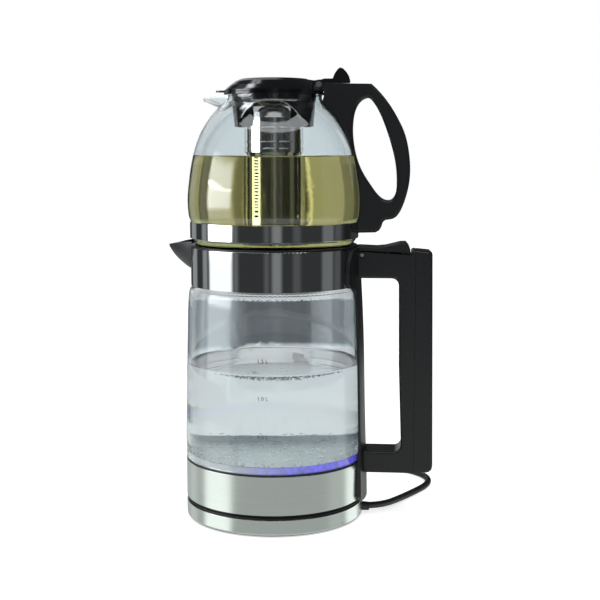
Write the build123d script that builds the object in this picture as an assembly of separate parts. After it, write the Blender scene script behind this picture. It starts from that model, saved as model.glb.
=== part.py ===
"""Automatic tea maker: a cordless glass kettle on a round power base, with a glass teapot standing on it.

Millimetres, +Z up. The origin is on the floor, on the axis of the base. The kettle and teapot handles
point along +X, both spouts along -X, and the litre scale faces -Y.
"""

import os
from math import atan2, cos, hypot, pi, radians, sin, sqrt, tan

from build123d import *

# ---------------------------------------------------------------- overall sizes
BODY_D = 150.0  # steel power base and the kettle's lower shell
KETTLE_H = 228.5  # floor to the rim of the kettle's steel collar
POT_D = 144.0  # teapot glass at its widest
POT_H = 123.7  # teapot glass, foot to rim
HANDLE_W = 29.0  # kettle handle across
POT_HANDLE_W = 19.0  # teapot handle across
CORD_D = 5.6

# ---------------------------------------------------------------- walls and clearances
STEEL = 0.8
GLASS = 2.8
POT_GLASS = 2.4
PLASTIC = 2.2
FIT = 0.05  # radial running clearance of a pin in its hole
SEAT = 0.15  # between pieces of one body that are clipped or glued together

# ---------------------------------------------------------------- derived levels
R = BODY_D / 2
KX = R / 75.0
KZ = (KETTLE_H - 18.3) / (228.5 - 18.3)
PR = POT_D / 144.0
PZ = POT_H / 123.7

BASE_BAND_TOP = 14.4
DECK_TOP = 16.0
SKIRT_BOTTOM = 16.6
SHELL_BOTTOM = 18.3


def kx(x):
    """Radial size on the kettle, for the 150 mm base."""
    return x * KX


def kz(z):
    """Height on the kettle, for the 228.5 mm collar."""
    return SHELL_BOTTOM + (z - 18.3) * KZ


SHELL_TOP = kz(50.0)
GLASS_BOTTOM = kz(51.8)
PLATE_TOP = kz(51.6)
GLASS_SHOULDER = kz(196.3)
COLLAR_TOP = KETTLE_H
COLLAR_R = kx(69.8)
POT_FOOT = COLLAR_TOP + 0.4


def pz(z):
    """Height on the teapot, for a foot at 228.9 mm."""
    return POT_FOOT + (z - 228.9) * PZ


def px(x):
    """Radial size on the teapot, for the 144 mm glass."""
    return x * PR


POT_RIM = pz(352.6)
NECK_R = px(39.7)
HINGE_X = px(37.6)
HINGE_Z = pz(361.0)

os.makedirs("parts", exist_ok=True)


# ---------------------------------------------------------------- helpers
def save(name, shape):
    """One STEP file for one piece."""
    export_step(shape, f"parts/{name}.step")


def turned(points):
    """Solid of revolution about Z from a closed (r, z) outline."""
    face = make_face(Polyline(*[(r, 0, z) for r, z in points], close=True))
    return revolve(face, Axis.Z, 360)


def ring(r0, r1, z0, z1):
    """Plain ring, or a disc when r0 is 0."""
    if r0 <= 0:
        return Pos(0, 0, z0) * extrude(Circle(r1), z1 - z0)
    return Pos(0, 0, z0) * extrude(Circle(r1) - Circle(r0), z1 - z0)


def shell_of(outer, thick):
    """The (r, z) outline moved inwards by the wall thickness, square to itself."""
    moved = []
    for i, (r, z) in enumerate(outer):
        r0, z0 = outer[max(i - 1, 0)]
        r1, z1 = outer[min(i + 1, len(outer) - 1)]
        run = hypot(r1 - r0, z1 - z0)
        moved.append((r - thick * (z1 - z0) / run, z + thick * (r1 - r0) / run))
    return moved


def blown(outer, inner):
    """Solid of revolution between two smooth (r, z) walls."""
    up = Spline(*[(r, 0, z) for r, z in outer])
    down = Spline(*[(r, 0, z) for r, z in reversed(inner)])
    rim = Line((outer[-1][0], 0, outer[-1][1]), (inner[-1][0], 0, inner[-1][1]))
    foot = Line((inner[0][0], 0, inner[0][1]), (outer[0][0], 0, outer[0][1]))
    return revolve(make_face(up + rim + down + foot), Axis.Z, 360)


def filled(outer):
    """Solid inside a smooth (r, z) wall, from the axis out."""
    up = Spline(*[(r, 0, z) for r, z in outer])
    (r0, z0), (r1, z1) = outer[0], outer[-1]
    sides = Polyline((r1, 0, z1), (0, 0, z1), (0, 0, z0), (r0, 0, z0))
    return revolve(make_face(up + sides), Axis.Z, 360)


def side_plate(points, half_width):
    """An (x, z) outline extruded to both sides of the XZ plane."""
    face = make_face(Polyline(*[(x, 0, z) for x, z in points], close=True))
    return extrude(face, half_width, dir=(0, 1, 0), both=True)


def block(x0, x1, y0, y1, z0, z1):
    """Box between corners."""
    return Pos((x0 + x1) / 2, (y0 + y1) / 2, (z0 + z1) / 2) * Box(x1 - x0, y1 - y0, z1 - z0)


def across(radius, x, z, y0, y1):
    """Cylinder along Y between y0 and y1."""
    return Pos(x, (y0 + y1) / 2, z) * Rot(90, 0, 0) * Cylinder(radius, abs(y1 - y0))


def upright(radius, x, y, z0, z1):
    """Cylinder along Z from z0 to z1."""
    return Pos(x, y, (z0 + z1) / 2) * Cylinder(radius, z1 - z0)


def along(start, end, r_start, r_end):
    """Round bar or cone from one point to another."""
    a, b = Vector(*start), Vector(*end)
    plane = Plane(origin=a, z_dir=(b - a))
    if abs(r_start - r_end) < 1e-6:
        return plane * Pos(0, 0, (b - a).length / 2) * Cylinder(r_start, (b - a).length)
    return plane * Pos(0, 0, (b - a).length / 2) * Cone(r_start, r_end, (b - a).length)


def around(shape, count, start=0.0):
    """Copies turned evenly about Z."""
    copies = [Rot(0, 0, start + i * 360.0 / count) * shape for i in range(count)]
    joined = copies[0]
    for copy in copies[1:]:
        joined = joined + copy
    return joined


def sector(r0, r1, z0, z1, mid_deg, half_deg):
    """Ring segment centred on an angle about Z."""
    low, mid, high = [radians(mid_deg + side * half_deg) for side in (-1, 0, 1)]
    outer = ThreePointArc(*[(r1 * cos(a), r1 * sin(a)) for a in (low, mid, high)])
    inner = ThreePointArc(*[(r0 * cos(a), r0 * sin(a)) for a in (high, mid, low)])
    face = make_face(outer + Line(outer @ 1, inner @ 0) + inner + Line(inner @ 1, outer @ 0))
    return Pos(0, 0, z0) * extrude(face, z1 - z0)


def beak_section(x, half_width, top, depth):
    """Half-ellipse section of a spout, square to X."""
    plane = Plane(origin=(x, 0, top), x_dir=(0, 1, 0), z_dir=(-1, 0, 0))
    lower = Rectangle(4 * half_width, 4 * depth, align=(Align.CENTER, Align.MIN))
    return (plane * (Ellipse(half_width, depth) & lower)).faces()[0]


def beak(sections):
    """Spout horn through (x, half width, top, depth) sections."""
    return loft([beak_section(*s) for s in sections])


# ---------------------------------------------------------------- power base
DECK_R = kx(73.6)
BOSS_R = 17.0  # raised 360 degree connector on the deck
BOSS_TOP = 30.0
GROOVE_R0, GROOVE_R1 = 11.0, 15.0
GROOVE_FLOOR = 16.6
EXIT_TURN = 18.0  # plan angle of the cord where it leaves the base
CORD_R = CORD_D / 2
LIE = CORD_R + 0.05  # cord centre height when it lies on the floor


def exit_point(s, z):
    """Point on the cord's line out of the base, s mm from the steel wall."""
    a = radians(EXIT_TURN)
    return (R + s * cos(a), s * sin(a), z)


P_IN = exit_point(-9.6, 7.6)
P_OUT = exit_point(14.0, 4.6)


def screw(x, y, z0, z1, r=1.5, head_r=3.0, head=1.8):
    """Screw driven upwards, its head at z0."""
    shank = upright(r, x, y, z0 + head / 2, z1)
    cap = upright(head_r, x, y, z0, z0 + head)
    slot = block(x - 2.4, x + 2.4, y - 0.4, y + 0.4, z0 - 1, z0 + 0.8)
    return shank + cap - slot - block(x - 0.4, x + 0.4, y - 2.4, y + 2.4, z0 - 1, z0 + 0.8)


SCREW_R = kx(50.0)
SCREW_PLACES = [(SCREW_R * cos(radians(a)), SCREW_R * sin(radians(a))) for a in (60, 180, 300)]


def cord_tunnel(grow):
    """Space the strain relief takes through the wall of the base."""
    return along(exit_point(-16, 8.3), exit_point(6, 5.5), 4.4 + grow, 4.0 + grow)


def base_band():
    outer = extrude(Circle(R), BASE_BAND_TOP - 0.8)
    outer = fillet(outer.faces().sort_by(Axis.Z)[0].edges(), 3.0)
    outer = fillet(outer.faces().sort_by(Axis.Z)[-1].edges(), 0.35)
    inner = Pos(0, 0, STEEL) * extrude(Circle(R - STEEL), BASE_BAND_TOP)
    inner = fillet(inner.faces().sort_by(Axis.Z)[0].edges(), 2.2)
    band = Pos(0, 0, 0.8) * (outer - inner) - ring(0, R - 5.0, 0, 3)
    return band - cord_tunnel(0.2)


def base_tray():
    wall = R - STEEL - SEAT
    tray = turned([
        (0, 1.8), (wall - 1.6, 1.8), (wall, 3.6), (wall, 13.4), (wall - PLASTIC, 13.4),
        (wall - PLASTIC, 4.0), (0, 4.0),
    ])
    for x, y in SCREW_PLACES:
        tray = tray + upright(4.6, x, y, 3.9, 13.4)
    for x, y in SCREW_PLACES:
        tray = tray - upright(1.7, x, y, 0, 20) - upright(3.3, x, y, 0, 5.0)
    tray = tray - ring(kx(58) - SEAT, kx(66) + SEAT, 0, 2.4)
    keeper = block(R - 21, R - 18.4, -12, 4, 3.9, 12.5)
    collar_room = along(exit_point(-8.2, 7.37), exit_point(-4.6, 6.92), 5.4, 5.4)
    cord_way = along(exit_point(-40, 8.6), exit_point(-4, 7), 3.2, 3.2)
    return tray + keeper - cord_tunnel(0.3) - collar_room - cord_way


def foot_ring():
    return ring(kx(58), kx(66), 0, 2.3)


def base_deck():
    deck = turned([
        (BOSS_R + SEAT, 13.6), (DECK_R - 1.4, 13.6), (DECK_R, 14.6), (DECK_R, DECK_TOP - 0.4),
        (DECK_R - 0.4, DECK_TOP), (BOSS_R + SEAT, DECK_TOP),
    ])
    drip = ring(kx(60), kx(62), DECK_TOP - 0.7, DECK_TOP + 1)
    for x, y in SCREW_PLACES:
        deck = deck - upright(1.5, x, y, 13, 15.2)
    return deck - drip


def base_connector():
    boss = upright(BOSS_R, 0, 0, 4.2, BOSS_TOP)
    boss = fillet(boss.faces().sort_by(Axis.Z)[-1].edges().sort_by(SortBy.RADIUS)[-1], 1.0)
    boss = boss + ring(0, 24, 11.0, 13.5)
    groove = ring(GROOVE_R0, GROOVE_R1, GROOVE_FLOOR, BOSS_TOP + 1)
    return boss - groove - ring(0, 4.6, GROOVE_FLOOR, BOSS_TOP + 1)


def centre_contact():
    return ring(3.5, 4.5, GROOVE_FLOOR, 25.0)


def ring_contact():
    return ring(GROOVE_R0 + 0.05, GROOVE_R0 + 0.75, GROOVE_FLOOR, 25.0) - block(-20, 20, -1, 1, 20, 26)


def connector_shutter():
    """Loose ring in the groove that the kettle's sleeve stands on and turns with."""
    return ring(12.3, GROOVE_R1 - FIT, GROOVE_FLOOR + 0.1, GROOVE_FLOOR + 2.2)


def base_screws():
    screws = [screw(x, y, 3.0, 15.0) for x, y in SCREW_PLACES]
    return Compound(screws)


def strain_relief():
    """Tapered rubber sleeve, gripped in the tray by its collar."""
    body = along(exit_point(-14.5, 8.18), exit_point(5.5, 5.66), 4.3, CORD_R + 0.8)
    collar = along(exit_point(-7.5, 7.28), exit_point(-5.3, 7.0), 5.1, 5.1)
    bore = along(exit_point(-20, 8.85), exit_point(20, 3.86), CORD_R + 0.15, CORD_R + 0.15)
    return body + collar - bore


# ---------------------------------------------------------------- cord, coil and plug
COIL_X, COIL_Y = kx(28.0), R + 44.0
COIL_R = 31.0  # 11 cord diameters across at the middle of the turns
COIL_H = 2 * CORD_D + 0.2
COIL_WIDTH = 7.0
TAIL_Z = COIL_H - CORD_R - 0.1
PLUG_Z = 10.0
PLUG_X = COIL_X - 22.0  # where the plug's own strain relief starts
PLUG_Y = COIL_Y + COIL_R


def bend_radii(points):
    """Radius at each inner point, from the shorter run and the turn."""
    radii = []
    for a, b, c in zip(points, points[1:], points[2:]):
        u, v = Vector(*b) - Vector(*a), Vector(*c) - Vector(*b)
        turn = radians(u.get_angle(v))
        radii.append(0.45 * min(u.length, v.length) / tan(turn / 2))
    return radii


def cord_points():
    """Corners of the cord's way over the floor, from inside the base to the coil."""
    run = [(45, 59), (56, 62), (38, 113), (42, 155)]
    points = [P_IN, P_OUT]
    x, y = P_OUT[0], P_OUT[1]
    for length, heading in run:
        x, y = x + length * cos(radians(heading)), y + length * sin(radians(heading))
        points.append((x, y, LIE))
    dx, dy = x - COIL_X, y - COIL_Y
    lead = atan2(dy, dx) + pi / 2 - atan2(COIL_R, sqrt(dx * dx + dy * dy - COIL_R**2))
    points.append((COIL_X + COIL_R * cos(lead), COIL_Y + COIL_R * sin(lead), LIE))
    return points


def tube(path):
    """Round cord along a path."""
    return sweep(Plane(origin=path @ 0, z_dir=path % 0) * Circle(CORD_R), path=path)


def coil_shape():
    section = Pos(COIL_R, COIL_H / 2) * RectangleRounded(COIL_WIDTH, COIL_H, 3.2)
    return Pos(COIL_X, COIL_Y, 0) * revolve(Plane.XZ * section, Axis.Z, 360)


def mains_cord():
    points = cord_points()
    radii = bend_radii(points)
    path = FilletPolyline(*points, radius=radii)
    print("cord radii", [round(r, 1) for r in radii], "length", round(path.length, 1))
    body = tube(path)
    section = pi * CORD_R**2 * path.length
    print("cord volume / section x length", round(body.volume / section, 4))
    return body - coil_shape()


def cord_tail():
    turn_up = (PLUG_X + 6.0, PLUG_Y, PLUG_Z)
    tail = along((COIL_X, PLUG_Y, TAIL_Z), turn_up, CORD_R, CORD_R)
    tail = tail + along(turn_up, (PLUG_NECK, PLUG_Y, PLUG_Z), CORD_R, CORD_R)
    return tail - coil_shape()


PLUG_NECK = PLUG_X - 24.0
PLUG_SHOULDER = PLUG_NECK - 14.0
PLUG_FACE = PLUG_NECK - 40.0
PIN_R, PIN_LENGTH, PIN_PITCH = 2.0, 19.0, 9.5
PIN_ROOT_R = PIN_R - 0.3


def plug_axis(x, side=0.0):
    """Point on the plug's middle line, or to one side of it."""
    return (x, PLUG_Y + side, PLUG_Z)


def plug_section(x, width, height, corner):
    plane = Plane(origin=plug_axis(x), x_dir=(0, 1, 0), z_dir=(-1, 0, 0))
    return plane * RectangleRounded(width, height, corner)


def plug_body():
    """Rubber plug with ribbed flats and three holes for the pin roots."""
    neck = plug_section(PLUG_NECK, 22, 14, 5)
    shoulder = plug_section(PLUG_SHOULDER, 34, 19, 6)
    face = plug_section(PLUG_FACE, 36, 19.4, 6)
    body = loft([neck, shoulder], ruled=True) + loft([shoulder, face], ruled=True)
    for step in range(4):
        x = PLUG_NECK - 17.0 - 3.2 * step
        for z in (PLUG_Z + 9.0, PLUG_Z - 10.6):
            body = body - block(x - 0.7, x + 0.7, PLUG_Y - 11, PLUG_Y + 11, z, z + 1.6)
    hole_r = PIN_ROOT_R + FIT
    for k in (-1, 0, 1):
        side = k * PIN_PITCH
        body = body - along(plug_axis(PLUG_FACE + 8.2, side), plug_axis(PLUG_FACE - 1, side), hole_r, hole_r)
    return body


def plug_relief():
    """Ribbed rubber cone between the cord and the plug."""
    bore_r = CORD_R + 0.05
    cone = along(plug_axis(PLUG_X), plug_axis(PLUG_NECK), CORD_R + 0.6, 6.4)
    for step in range(5):
        groove = Cylinder(9, 1.3) - Cylinder(CORD_R + 0.55 + 0.1 * step, 1.3)
        cone = cone - Pos(*plug_axis(PLUG_X - 3.5 - 3.8 * step)) * Rot(0, 90, 0) * groove
    return cone - along(plug_axis(PLUG_X + 4), plug_axis(PLUG_NECK - 2), bore_r, bore_r)


def plug_pins():
    """Three round pins in line, each with a thinner root inside the plug."""
    pins = []
    for k in (-1, 0, 1):
        side = k * PIN_PITCH
        tip = plug_axis(PLUG_FACE - PIN_LENGTH, side)
        pin = along(plug_axis(PLUG_FACE - 0.05, side), tip, PIN_R, PIN_R)
        pin = chamfer(pin.faces().sort_by(Axis.X)[0].edges(), 0.7)
        inner = plug_axis(PLUG_FACE + 8.0, side)
        root = along(inner, plug_axis(PLUG_FACE - 0.1, side), PIN_ROOT_R, PIN_ROOT_R)
        pins.append(pin + root)
    return Compound(pins)


# ---------------------------------------------------------------- kettle
SKIRT_R = kx(73.4)
GLASS_WALL = [(kx(r), kz(z)) for r, z in (
    (74.6, 51.8), (75.0, 60), (74.6, 95), (73.9, 131), (73.1, 157), (72.3, 182),
    (71.7, 189), (70.4, 194), (68.7, 196.6), (68.4, 199), (68.4, 205.0),
)]
STRAP_WALL = [(kx(r), kz(z)) for r, z in (
    (78.9, 17.0), (78.4, 40), (77.7, 61), (76.7, 96), (75.2, 157), (73.6, 191), (73.2, 198), (73.1, 229.5),
)]
BOSS_CLEAR = 0.7
FLANGE_TOP = 36.2  # top of the kettle half of the connector
SLEEVE_R0, SLEEVE_R1 = 12.2, 14.5


def kettle_skirt():
    """Black floor moulding of the kettle, with the well for the connector."""
    well = BOSS_R + BOSS_CLEAR
    floor, rim = SKIRT_BOTTOM + 2.2, SHELL_BOTTOM + 6
    return turned([
        (well, SKIRT_BOTTOM), (SKIRT_R - 0.5, SKIRT_BOTTOM), (SKIRT_R, SKIRT_BOTTOM + 0.5),
        (SKIRT_R, SHELL_BOTTOM - 0.1), (kx(71.6), SHELL_BOTTOM - 0.1), (kx(71.6), rim), (kx(69.6), rim),
        (kx(69.6), floor), (well + 2.4, floor), (well + 2.4, 33.0), (well, 33.0),
    ])


def shell_band():
    """Steel lower shell with its bottom edge turned in."""
    body = Pos(0, 0, SHELL_BOTTOM) * extrude(Circle(R), SHELL_TOP - SHELL_BOTTOM)
    body = fillet(body.edges().filter_by(GeomType.CIRCLE), 0.35)
    hollow = ring(0, R - STEEL, SHELL_BOTTOM + STEEL, SHELL_TOP + 1)
    return body - hollow - ring(0, kx(71.8), SHELL_BOTTOM - 1, SHELL_TOP)


def band_seal():
    """Rubber ring that the glass stands on, hooked inside the steel shell."""
    seat = ring(kx(70.5), kx(74.3), SHELL_TOP + 0.05, GLASS_BOTTOM - 0.1)
    return seat + ring(kx(70.5), R - STEEL - SEAT, SHELL_TOP - 3, SHELL_TOP + 0.1)


def kettle_glass():
    return blown(GLASS_WALL, shell_of(GLASS_WALL, GLASS))


def light_ring():
    """Clear light guide that stands round the heating plate, against the glass."""
    z = GLASS_BOTTOM
    return turned([
        (kx(69.0), z - 1.7), (kx(70.2), z - 1.7), (kx(70.2), z), (kx(71.6), z), (kx(71.65), z + 5.2),
        (kx(70.9), z + 5.6), (kx(69.3), z + 4.6), (kx(69.0), z + 0.2),
    ])


def led_board():
    """Ring of lamps under the foot of the light guide."""
    z = GLASS_BOTTOM - 3.4
    board = ring(kx(61), kx(70.2), z, z + 1.3)
    chip = block(kx(67.8), kx(70.0), -1.5, 1.5, z + 1.2, z + 1.6)
    return board + around(chip, 12, 15.0)


def heating_plate():
    """Steel floor of the water space, shallow dished."""
    t = PLATE_TOP
    return turned([
        (0, t - 0.6), (kx(56), t - 0.6), (kx(58), t), (kx(68.6), t), (kx(68.6), t - 0.8),
        (kx(58.4), t - 0.8), (kx(56.4), t - 1.4), (0, t - 1.4),
    ])


def plate_seal():
    """Silicone ring on the plate's rim, against the light guide."""
    t = PLATE_TOP
    return turned([
        (kx(66.8), t + 0.05), (kx(68.85), t + 0.05), (kx(68.85), t + 1.2), (kx(68.3), t + 1.6),
        (kx(66.8), t + 0.5),
    ])


def heat_spreader():
    return ring(0, kx(52), PLATE_TOP - 3.6, PLATE_TOP - 1.45)


def heater_element():
    """Sheathed heater in an open ring, with two cold ends turned down."""
    z = PLATE_TOP - 3.7 - 3.6
    r = kx(42)
    gap = 24.0
    torus = Pos(0, 0, z) * Torus(r, 3.6)
    torus = torus - sector(r - 8, r + 8, z - 5, z + 5, 180, gap)
    ends = []
    for s in (-1, 1):
        a = radians(180 + s * (gap + 3))
        ends.append(upright(2.2, r * cos(a), r * sin(a), z - 11, z - 1))
    return torus + ends[0] + ends[1]


def thermostat():
    """Control block above the connector, with the steam switch housing at its side."""
    z = FLANGE_TOP
    body = block(-19, 24, -15, 15, z, z + 7.0)
    body = fillet(body.edges().filter_by(Axis.Z), 3)
    steam = block(24, kx(40), -9, 9, z - 8, z + 3.4)
    discs = upright(7, -6, 0, z + 7.0, z + 8.2) + upright(7, 12, 0, z + 7.0, z + 8.2)
    return body + steam + discs


def kettle_connector():
    """Kettle half of the connector: a sleeve for the base's groove under a round flange."""
    flange = ring(0, BOSS_R + BOSS_CLEAR + 2.4, 33.0, FLANGE_TOP)
    sleeve = ring(SLEEVE_R0, SLEEVE_R1, 19.1, 33.1)
    return flange + sleeve


def connector_pin():
    tip = upright(3.0, 0, 0, 19.6, 33.0)
    return fillet(tip.faces().sort_by(Axis.Z)[0].edges(), 1.2)


def collar():
    """Polished steel collar round the kettle's mouth."""
    wall = COLLAR_R - STEEL
    body = ring(wall, COLLAR_R, GLASS_SHOULDER + 0.5, COLLAR_TOP)
    body = fillet(body.faces().sort_by(Axis.Z)[-1].edges().sort_by(SortBy.RADIUS)[-1], 0.4)
    return body - spout_channel(2.6)


def neck_gasket():
    """Silicone sleeve between the glass neck and the collar."""
    return ring(kx(68.4) + 0.2, COLLAR_R - STEEL - 0.05, GLASS_SHOULDER + 2.2, kz(204.8))


SPOUT_TOP = kz(233.0)
SPOUT_TIP = kx(-88.9)


def spout_sections(inset=0.0):
    """Half-ellipse sections of the kettle's spout, or of its channel."""
    rows = [
        (kx(-58), 26.0, 0.0, 29.0), (kx(-68), 22.5, 0.0, 25.3), (kx(-78), 14.0, -1.4, 16.8),
        (kx(-84.5), 6.6, -2.6, 9.1), (SPOUT_TIP, 1.6, -3.4, 1.5),
    ]
    if inset:
        rows[-1] = (SPOUT_TIP - 2.5, 3.0, -3.2, 2.0)
    return [(x, max(w - inset, 0.8), SPOUT_TOP + lift, max(d - inset, 0.8)) for x, w, lift, d in rows]


def spout_channel(top_keep=0.0):
    """Water way of the spout, through the collar's wall."""
    channel = beak(spout_sections(2.0))
    if top_keep:
        return channel & block(-200, kx(-50), -60, 60, 0, COLLAR_TOP - top_keep)
    return channel


def kettle_spout():
    horn = beak(spout_sections())
    return horn - spout_channel() - ring(0, COLLAR_R + SEAT, 0, 400)


def spout_filter():
    """Slotted lime filter clipped behind the spout opening."""
    r1 = COLLAR_R - STEEL - SEAT
    z0, z1 = kz(207), kz(224.4)
    frame = sector(r1 - 1.6, r1, z0, z1, 180, 21)
    rows = int((z1 - z0 - 4) / 3.0)
    for i in range(rows):
        z = z0 + 2.6 + 3.0 * i
        for side in (-1, 1):
            frame = frame - sector(r1 - 4, r1 + 2, z, z + 1.5, 180 + side * 9.3, 8.4)
    return frame


# kettle handle
HALF = HANDLE_W / 2
HANDLE_TOP_IN, HANDLE_TOP_OUT = kz(225.4), kz(222.6)
LEVER_X0, LEVER_X1 = kx(70.5), kx(70.5) + 43.1
PIVOT_X, PIVOT_Z = LEVER_X0 + 3.4, kz(222.2)
SEAM_X = kx(75) + 43.0
GRIP_X = kx(75) + 59.8


def hx(x):
    """Distance out along the handle, for the 75 mm base radius."""
    return R + (x - 75.0)


def handle_outline():
    """Arms and grip from the side, without the opening."""
    return [
        (hx(60), HANDLE_TOP_IN + 0.6), (hx(68), HANDLE_TOP_IN), (hx(113.9), HANDLE_TOP_OUT),
        (hx(114.3), kz(225.9)), (hx(116.0), kz(226.7)), (hx(128.9), kz(225.5)), (hx(131.6), kz(223.0)),
        (hx(133.9), kz(46.2)), (hx(133.1), kz(42.4)), (hx(130.8), kz(40.4)), (hx(127.4), kz(39.7)),
        (hx(60), kz(39.7)),
    ]


def handle_opening():
    """Finger gap of the handle, wider towards its foot."""
    low, middle, high = kz(57.6), kz(131.0), kz(203.2)
    cut = side_plate([
        (hx(70), high), (hx(104.2), high), (hx(104.9), middle), (hx(107.4), low), (hx(70), low),
    ], HALF + 2)
    corners = [e for e in cut.edges().filter_by(Axis.Y) if e.center().X > hx(90)]
    return fillet([e for e in corners if abs(e.center().Z - middle) > 9.0], 6.0)


def strap_front():
    """Saddle and strap seen from the handle side, half of the (y, z) outline."""
    half = [
        (15.0, 229.0), (24.5, 228.2), (29.0, 225.6), (32.2, 218), (33.8, 208), (33.8, 199.5), (31.0, 196.6),
        (25.0, 195.4), (22.6, 191), (22.2, 150), (22.2, 100), (22.6, 62), (24.6, 46), (25.2, 21), (22.6, 17.3),
    ]
    points = [(y, kz(z)) for y, z in half]
    return points + [(-y, z) for y, z in reversed(points)]


def handle_strap():
    """Wall that hugs the collar, the glass and the lower shell behind the handle."""
    skin = filled(STRAP_WALL) - filled_shell()
    face = make_face(Polyline(*[(0, y, z) for y, z in strap_front()], close=True))
    front = extrude(face, 200, dir=(1, 0, 0))
    return skin & front


def filled_shell():
    """Solid inside the line just clear of the kettle's outside."""
    glass = filled([(r + 0.25, z) for r, z in GLASS_WALL])
    low = ring(0, R + 0.25, SHELL_BOTTOM - 3, GLASS_BOTTOM + 0.2)
    return glass + low + ring(0, COLLAR_R + 0.2, GLASS_SHOULDER - 0.6, kz(245))


def handle_loop():
    """Arms and grip as one rounded loop, before the seam is cut."""
    loop = side_plate(handle_outline(), HALF) - handle_opening()
    sides = [e for e in loop.edges() if abs(abs(e.center().Y) - HALF) < 0.01 and e.center().X > hx(72)]
    loop = fillet([e for e in sides if e.bounding_box().min.X > hx(69.9)], 2.2)
    return loop - filled_shell()


def lever_room():
    """Pocket under the switch lever for its knuckle and its plunger."""
    knuckle = block(LEVER_X0 - 0.4, PIVOT_X + 4.2, -6.4, 6.4, PIVOT_Z - 4.2, kz(240))
    plunger = block(LEVER_X0 + 26.0, LEVER_X0 + 36.0, -5.4, 5.4, kz(206), kz(240))
    saddle = block(LEVER_X0 - 0.4, hx(90), -HALF - 0.2, HALF + 0.2, HANDLE_TOP_IN - 0.1, kz(240))
    return knuckle + plunger + saddle


def handle_frame():
    loop = handle_loop() & block(0, SEAM_X - 0.1, -60, 60, 0, 400)
    frame = loop + handle_strap()
    frame = frame - lever_room() - across(1.52, PIVOT_X, PIVOT_Z, -HALF - 1, HALF + 1)
    for side in (-1, 1):
        frame = frame - across(2.6, PIVOT_X, PIVOT_Z, side * (HALF - 2.0), side * (HALF + 1))
    return frame - handle_screw_holes()


ARM_SCREW_X = hx(96)


def handle_screw_holes():
    """Countersunk way for the screw up into the lower arm."""
    return upright(1.6, ARM_SCREW_X, 0, kz(39), kz(55)) + upright(3.4, ARM_SCREW_X, 0, kz(39), kz(43.5))


def handle_screw():
    shank = upright(1.55, ARM_SCREW_X, 0, kz(42), kz(54))
    head = upright(3.1, ARM_SCREW_X, 0, kz(41.3), kz(43.5) - 0.05)
    slot = block(ARM_SCREW_X - 2.4, ARM_SCREW_X + 2.4, -0.4, 0.4, kz(40), kz(42.1))
    return shank + head - slot


def grip_cover():
    return handle_loop() & block(SEAM_X + 0.1, 400, -60, 60, 0, 400)


def switch_lever():
    """Lever along the top of the handle, rocking on a pin at the collar end."""
    z0, z1 = kz(226.0), kz(224.9)
    top = [
        (0, 229.4), (4, 229.2), (15.0, 228.7), (22.0, 229.3), (30.0, 231.2), (34.5, 232.4), (39.0, 232.5),
    ]
    outline = [(LEVER_X0, z0)] + [(LEVER_X0 + x, kz(z)) for x, z in top]
    outline += [(LEVER_X1 - 1.6, kz(229.5)), (LEVER_X1, z1)]
    bar = side_plate(outline, HALF - 0.4)
    side_edges = [e for e in bar.edges() if abs(abs(e.center().Y) - HALF + 0.4) < 0.01]
    bar = fillet([e for e in side_edges if e.center().Z > kz(227.2)], 0.9)
    knuckle = across(3.4, PIVOT_X, PIVOT_Z, -5.9, 5.9)
    knuckle = knuckle + block(PIVOT_X - 2.4, PIVOT_X + 3.0, -5.9, 5.9, PIVOT_Z, z0 + 0.8)
    plunger = block(LEVER_X0 + 28.0, LEVER_X0 + 34.0, -4.6, 4.6, kz(212), z1 + 1.5)
    return bar + knuckle + plunger - across(1.5 + FIT, PIVOT_X, PIVOT_Z, -20, 20)


def switch_pin():
    return across(1.5, PIVOT_X, PIVOT_Z, -HALF + 2.2, HALF - 2.2)


# ---------------------------------------------------------------- seat ring and teapot
SEAT_R = COLLAR_R - STEEL - 0.45


def seat_ring():
    """Black ring that drops into the collar and carries the teapot's foot."""
    top = COLLAR_TOP
    return turned([
        (kx(50), top - 2.6), (kx(50), top - 0.1), (px(65.6), top - 0.1), (px(65.9), top + 1.5),
        (kx(69.3), top + 1.5), (kx(69.6), top + 1.2), (kx(69.6), top + 0.3), (SEAT_R, top + 0.3),
        (SEAT_R, top - 3.4), (SEAT_R - 1.8, top - 3.4), (SEAT_R - 1.8, top - 2.6),
    ])


POT_WALL = [(px(r), pz(z)) for r, z in (
    (69.1, 236.2), (69.25, 243), (69.5, 249.4), (70.6, 251.9), (71.5, 256.6), (71.95, 262.5), (71.7, 273),
    (70.6, 283), (69.2, 293), (67.2, 303), (64.4, 313), (60.2, 323), (54.5, 332.4), (48.6, 339.8),
    (44.2, 344.0), (41.2, 346.8), (39.8, 349.6), (39.7, 352.6),
)]
POT_FOOT_WALL = [(px(r), pz(z)) for r, z in (
    (63.6, 228.9), (64.9, 230.2), (66.6, 232.2), (68.2, 234.6), (69.1, 236.2),
)]


def lip_sections(inset=0.0):
    """Half-ellipse sections of the glass pouring lip, or of its channel."""
    rows = [
        (px(-33), 19.0, 0.0, 17.0), (px(-43), 13.6, -0.2, 11.6), (px(-52), 7.6, -1.2, 6.3),
        (px(-58.3), 2.6, -2.3, 2.4),
    ]
    top = POT_RIM
    if inset:
        rows = [(px(-30), 20.5, 0.4, 18.6)] + rows[:-1] + [(px(-60), 3.4, -2.2, 2.4)]
        top = POT_RIM + 0.3
    return [(x, w - inset, top + lift, d - inset) for x, w, lift, d in rows]


def pot_solid():
    """Outside of the teapot's glass, without the lip."""
    foot = [(0, POT_FOOT_WALL[0][1])] + POT_FOOT_WALL + [(0, POT_FOOT_WALL[-1][1])]
    return filled(POT_WALL) + turned(foot)


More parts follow.
